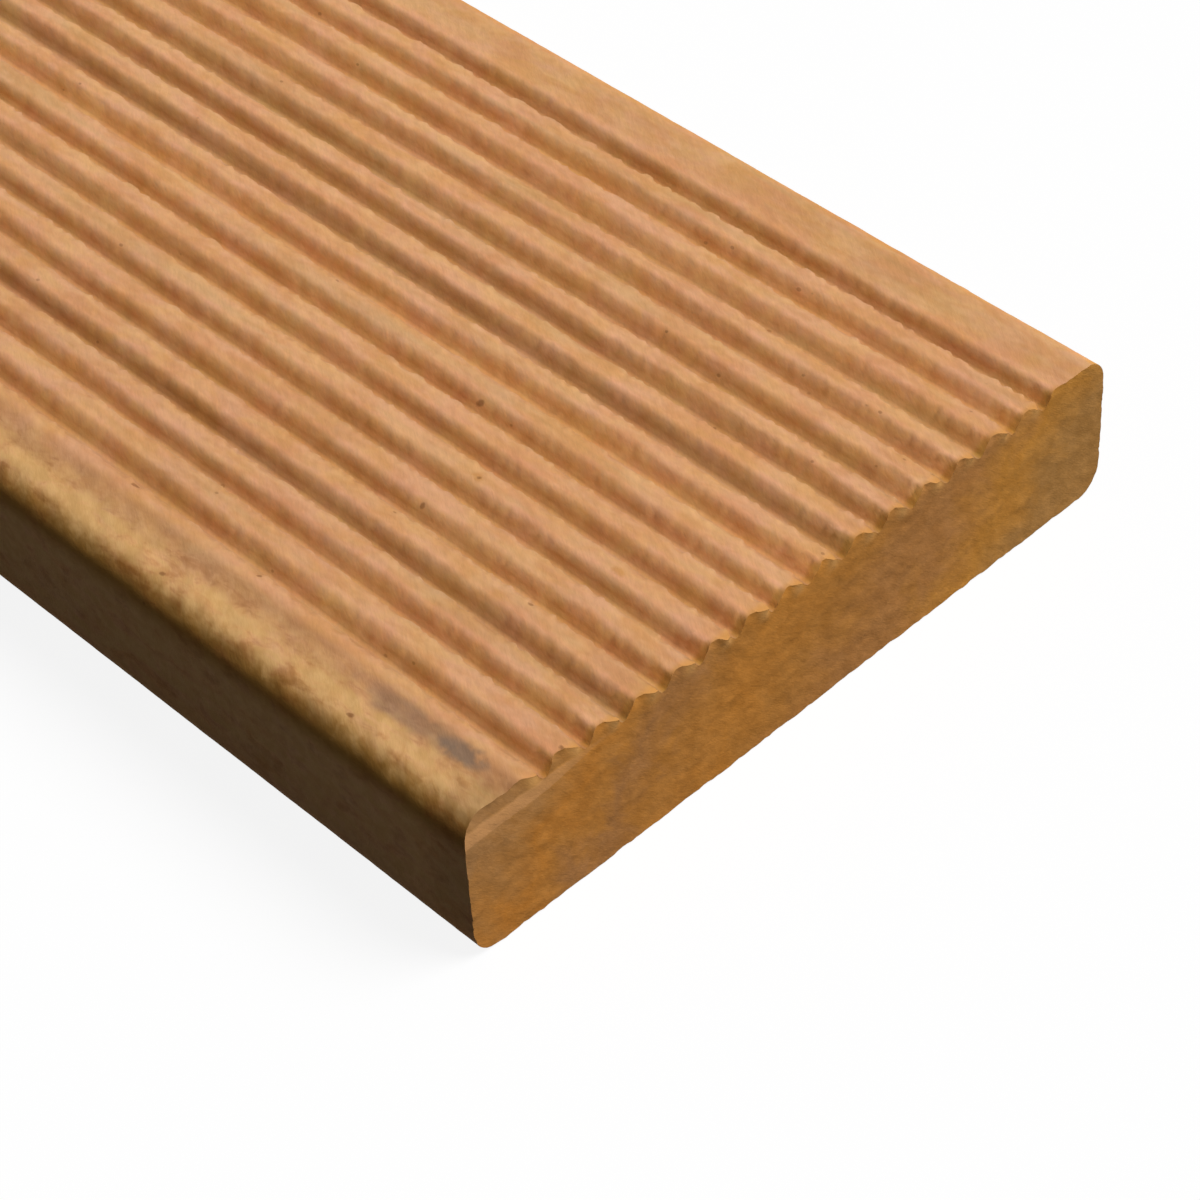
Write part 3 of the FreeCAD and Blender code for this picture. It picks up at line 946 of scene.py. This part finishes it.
def faceMaterial(fibre):
    # Bare softwood, planed and a little fuzzy: soft patches of pink, yellow and olive,
    # darker groove walls, a worn near margin and arris, flecks and a grey stain
    material, tree, place = newMaterial("bareSoftwood")
    look = faceFinish
    x, y, z = inMillimetres(place)
    away = calc("SUBTRACT", boardHigh[0], x)
    fromNear = calc("ADD", y, boardWidth / 2)
    onCrown, onFarWall, onNearWall = parts(attribute(tree, "grooveTone", "Vector"))
    grains = {name: pattern(place, **layout) for name, layout in facePatterns.items()}
    mottle, scuffs = grains["mottle"], grains["scuff"]

    def near(name):
        return span(fromNear, fromNearSide[name])

    def byEnd(name):
        return span(away, fromEnd[name])

    def up(name):
        return span(z, heights[name])

    upper = up("upper")
    colour = mixColour(ramp(grains["warm"], 0.32, 0.68), look["pink"], look["yellow"])
    colour = mixColour(ramp(grains["streak"], 0.52, 0.72, 0.0, 0.6), colour, look["olive"])
    colour = shaded(colour, grains["light"], look["dark"], look["bright"], 0.18)
    fibres, colour = fibreShaded(fibre, place, colour, look)

    # The walls that face the near side are frayed at the shoulders
    wall = mixColour(ramp(grains["wall"], 0.38, 0.64), look["nearWallRed"], look["nearWallOlive"])
    frayed = ramp(swayed(onNearWall, fibres["Shade"], 1.3), 0.1, 0.9)
    frayed = product(frayed, ramp(onNearWall, 0.0, 0.3))
    colour = tinted(frayed, colour, wall)
    # Each groove's near wall is painted lighter or darker: painted shade for the light on its slope
    colour = tinted(1.0, colour, attribute(tree, "wallPaintedShade", "Fac"))

    # The near margin is yellower, with a brown strip beside the first ridge, and scuffed
    colour = layered(colour, look, (
        # Painted shade on the walls that face the far side and in the roots
        ("farWallPaintedShade", onFarWall),
        # Painted light on the crowns, most at their near shoulders
        ("crownPaintedLight", onCrown),
        ("marginYellow", near("margin"), upper, ramp(mottle, 0.34, 0.62, 0.2, 1.0)),
        ("marginBrown", near("strip"), upper, ramp(mottle, 0.35, 0.7, 0.7, 0.25)),
    ))
    scuffed = shaded(colour, scuffs, look["scuffDark"], look["scuffLight"])
    colour = mixColour(product(near("scuffs"), upper), colour, scuffed)

    # Its arris is painted darker in a wavering line, painted shade where it turns down into
    # the shaded near side, and the sides are a little darker and greyer
    outer = ramp(calc("ABSOLUTE", y), boardWidth / 2 - 1.2, boardWidth / 2 - 0.3)
    side = product(outer, up("side"))
    nearEdgeShare = span(swayed(swayed(fromNear, mottle, 3), scuffs, 2.4), fromNearSide["arris"])

    # Small dark flecks, most of them near the sawn end and the far side
    spread = stretched(place, fleckSize)
    cells = addNode("TexVoronoi", {"Vector": spread, "Scale": 1.0, "Randomness": 1.0})
    pick = addNode("SeparateColor", {0: cells.outputs["Color"]}).outputs[0]
    pick = calc("ADD", pick, product(byEnd("flecks"), near("flecks"), 0.08))
    chosen = product(calc("GREATER_THAN", pick, look["fleckless"]),
                     calc("GREATER_THAN", z, heights["flecks"]))
    ragged = calc("MULTIPLY_ADD", grains["warm"], 0.3, cells.outputs["Distance"])

    # The near margin's last centimetre is grimy too. The grooves' walls are painted paler by
    # their open end, painted light that stands in for bounced light there, but yellower and
    # darker right at the cut, where broken fibres are amber. The roots there are painted
    # darker, painted shade against the light that the open end lets in
    colour = layered(colour, look, (
        ("blots", ramp(mottle, 0.48, 0.32), near("blots"), upper),
        # Painted shade along the near arris
        ("arris", nearEdgeShare, upper, calc("SUBTRACT", 1.0, side)),
        ("grime", byEnd("grime"), near("grime"), upper, 0.62),
        ("firstRidges", near("ridges"), near("firstRidges")),
        ("side", side),
        # Painted light on the near walls by the open end
        ("openEndPaintedLight", byEnd("opened"), onNearWall),
        ("tornWall", byEnd("torn"), onNearWall),
        # Painted shade on the groove roots right at the cut
        ("rootPaintedShade", byEnd("torn"), onFarWall),
        ("brokenEdge", byEnd("broken"), up("broken"), near("broken"), 0.8),
        ("fleck", ramp(ragged, 0.36, 0.26), chosen, 0.4),
    ))
    for name, wobble, strength, spots in marks:
        masks = [spotMask(place, *spot, wobble) for spot in spots]
        colour = layered(colour, look, [(name, mask, strength) for mask in masks])
    finishMaterial(colour, fibres, look)
    return material


endFinish = {
    "slant": 0.89,  # how far the growth bands lean over for each millimetre of height
    "bands": (  # place along the bands' coordinate in millimetres, and colour
        (-20, rgb(196, 143, 89)),
        (-6, rgb(205, 142, 75)),
        (6, rgb(217, 142, 61)),
        (14, rgb(211, 142, 67)),
        (22, rgb(195, 135, 78)),
        (34, rgb(208, 140, 66)),
        (47, rgb(216, 143, 62)),
        (62, rgb(207, 140, 66)),
        (78, rgb(198, 136, 75)),
        (90, rgb(203, 140, 78)),
        (108, rgb(220, 151, 66)),
        (124, rgb(198, 143, 78)),
    ),
    "sway": {"size": (30.0, 14.0, 9.0), "turn": (-42.0, 0, 0), "grain": (3.0, 0.65, 0.5)},
    "swayReach": 36.0,  # how far the bands stray
    "patches": {"size": (12.0, 7.0, 4.5), "turn": (-40.0, 0, 0), "shift": (0, 17, 3),
                "grain": (3.0, 0.7, 0.3)},
    "fibre": {"size": (2.0, 2.3, 0.75), "turn": (-35.0, 0, 0)},
    "dark": (0.92, 0.9, 0.84, 1.0),
    "bright": (1.07, 1.09, 1.14, 1.0),
    "fibreContrast": 0.07,
    "pale": rgb(228, 170, 96),
    "pit": rgb(132, 80, 34),
    # Painted light on the flat below the broken corner, as on a bevel that faces up
    "strip": rgb(230, 168, 108),
    "cornerFull": 14,  # the broken corner's tones are full up to here from the near side
    # Painted shade on the broken part of the near corner
    "tints": {"tornCornerShade": (0.74, 0.73, 0.7, 1.0)},
    # Pale torn tips, with painted light that lifts the shadow under them
    "tipPaleAndPaintedLight": rgb(248, 184, 108),
    "crestHeight": (-4.0, -1.2),  # from the top
    "roughness": 0.9,
    "bump": 0.2,
    "bumpDepth": 0.5,
}


def bandColour(along, bands):
    # A colour ramp through the bands' colours at their places
    low, high = bands[0][0], bands[-1][0]
    spot = addNode("MapRange", {"Value": along, "From Min": low, "From Max": high})
    node = addNode("ValToRGB", {0: spot.outputs["Result"]})
    stops = node.color_ramp.elements
    stops[0].color, stops[1].color = bands[0][1], bands[-1][1]
    for stop, shade in bands[1:-1]:
        stops.new((stop - low) / (high - low)).color = shade
    return node.outputs[0]


def endMaterial(fibre):
    # Saw-cut end grain: ochre, amber and greyer bands that lean over as the growth rings
    # do, short pale fibres all pulled one way by the saw, and small dark pits
    material, tree, place = newMaterial("sawnEndGrain")
    look = endFinish
    x, y, z = inMillimetres(place)
    fromNear = calc("ADD", y, boardWidth / 2)
    along = calc("MULTIPLY_ADD", z, -look["slant"], fromNear)
    along = swayed(along, pattern(place, **look["sway"]), look["swayReach"])
    patch = pattern(place, **look["patches"])
    colour = shaded(bandColour(along, look["bands"]), patch, look["dark"], look["bright"], 0.18)
    fibres, colour = fibreShaded(fibre, place, colour, look)

    # The flat that is left below the broken near corner is painted paler, painted light as
    # on a bevel that faces up, the broken part is painted darker, painted shade, and the
    # torn tips are pale, with painted light that lifts the shadow under them
    reach = ramp(fromNear, sawnEnd["cornerReach"], look["cornerFull"])
    ledge = boardThickness - sawnEnd["cornerHeight"]
    foot = calc("MULTIPLY_ADD", reach, -sawnEnd["bevelHeight"], ledge)
    overFoot = ramp(calc("SUBTRACT", z, foot), -0.1, 0.2)
    onTip = parts(attribute(tree, "grooveTone", "Vector"))[0]
    low, high = (boardThickness + height for height in look["crestHeight"])
    colour = layered(colour, look, (
        ("pale", ramp(fibres["Shade"], 0.62, 0.74), 0.4),
        ("pit", ramp(fibres["Shade"], 0.32, 0.25), 0.6),
        # Painted light on the flat below the broken corner
        ("strip", overFoot, ramp(z, ledge + 0.2, ledge - 0.1), reach, 0.6),
        # Painted shade on the broken part of the near corner
        ("tornCornerShade", ramp(z, ledge + 0.1, ledge + 0.5), reach),
        # Pale tips, and painted light against the shadow under them
        ("tipPaleAndPaintedLight", ramp(z, low, high), onTip, 0.85),
    ))
    finishMaterial(colour, fibres, look)
    return material


studio = {
    "sunHeight": 55.0,  # degrees above the floor
    "sunTurn": 49.0,  # degrees from the board's length towards its far side
    "sunStrength": 3.0,
    "sunAngle": 36.0,
    "sunDistance": 3.0,
    "fill": 0.07,
    "floorSize": 14.0,
    "floorDrop": 0.2,
    "floorPale": 0.86,  # share of the floor's whiteness that takes no shadow
    "floorGlow": 1.03,
    "floorBounce": 0.11,
}


def seenByCamera(tree):
    # 1 for rays that show the backdrop: straight from the camera, or by gloss or glass
    rays = addNode("LightPath", tree=tree).outputs
    seen = calc("MAXIMUM", rays["Is Camera Ray"], rays["Is Glossy Ray"])
    return calc("MAXIMUM", seen, rays["Is Transmission Ray"])


def buildFloor():
    # A level square. The camera sees it almost white, with a little of the shadows on it,
    # and the board gets a dim bounce from it
    half = studio["floorSize"] / 2
    level = -studio["floorDrop"] * mm
    data = bpy.data.meshes.new("studioFloor")
    corners = [(-half, -half, level), (half, -half, level), (half, half, level), (-half, half, level)]
    data.from_pydata(corners, [], [(0, 1, 2, 3)])
    floor = newObject("studioFloor", data)
    material = bpy.data.materials.new("paleFloor")
    tree = emptyTree(material)
    paper = addNode("BsdfDiffuse", {"Color": grey(0.9)}, tree).outputs[0]
    glow = {"Color": grey(1.0), "Strength": studio["floorGlow"]}
    glow = addNode("Emission", glow, tree).outputs[0]
    shown = addNode("MixShader", {0: studio["floorPale"], 1: paper, 2: glow}).outputs[0]
    dim = addNode("BsdfDiffuse", {"Color": grey(studio["floorBounce"])}, tree).outputs[0]
    both = addNode("MixShader", {0: seenByCamera(tree), 1: dim, 2: shown})
    addNode("OutputMaterial", {0: both.outputs[0]})
    data.materials.append(material)


def buildLight():
    # A soft sun, and a dim world that the camera sees as white
    world = bpy.data.worlds.new("studioWorld")
    bpy.context.scene.world = world
    tree = emptyTree(world)
    colour = mixColour(seenByCamera(tree), grey(studio["fill"]), grey(1.0))
    background = addNode("Background", {"Color": colour, "Strength": 1.0})
    addNode("OutputWorld", {0: background.outputs[0]})

    lamp = bpy.data.lights.new("softKey", "SUN")
    lamp.energy = studio["sunStrength"]
    lamp.angle = np.radians(studio["sunAngle"])
    sun = newObject("softKey", lamp)
    up, turn = np.radians(studio["sunHeight"]), np.radians(studio["sunTurn"])
    towards = Vector((np.cos(up) * np.cos(turn), np.cos(up) * np.sin(turn), np.sin(up)))
    sun.rotation_mode = "QUATERNION"
    sun.rotation_quaternion = towards.to_track_quat("Z", "Y")
    sun.location = towards * studio["sunDistance"]


view = {
    "from": (1147.9, -287.7, 392.3),  # millimetres
    "towards": (879.6, -25.8, 28.0),
    "roll": -1.21,  # degrees
    "lens": 103.2,
    "sensor": 36,
    "clipping": (0.01, 50),
}


def buildCamera():
    data = bpy.data.cameras.new("photoCamera")
    data.sensor_width = view["sensor"]
    data.lens = view["lens"]
    data.clip_start, data.clip_end = view["clipping"]
    camera = newObject("photoCamera", data)
    start, aim = Vector(view["from"]) * mm, Vector(view["towards"]) * mm
    turn = (aim - start).to_track_quat("-Z", "Y").to_matrix().to_4x4()
    roll = Matrix.Rotation(np.radians(view["roll"]), 4, "Z")
    camera.matrix_world = Matrix.Translation(start) @ turn @ roll
    bpy.context.scene.camera = camera


print("building the board")
board = buildBoard()
fibreGroup = tornFibreGroup()
board.data.materials.append(faceMaterial(fibreGroup))
board.data.materials.append(endMaterial(fibreGroup))
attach(board, "root")
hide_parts("decking_board")

print("setting up floor, light and camera")
buildFloor()
buildLight()
buildCamera()
bpy.context.scene.view_settings.view_transform = "Standard"
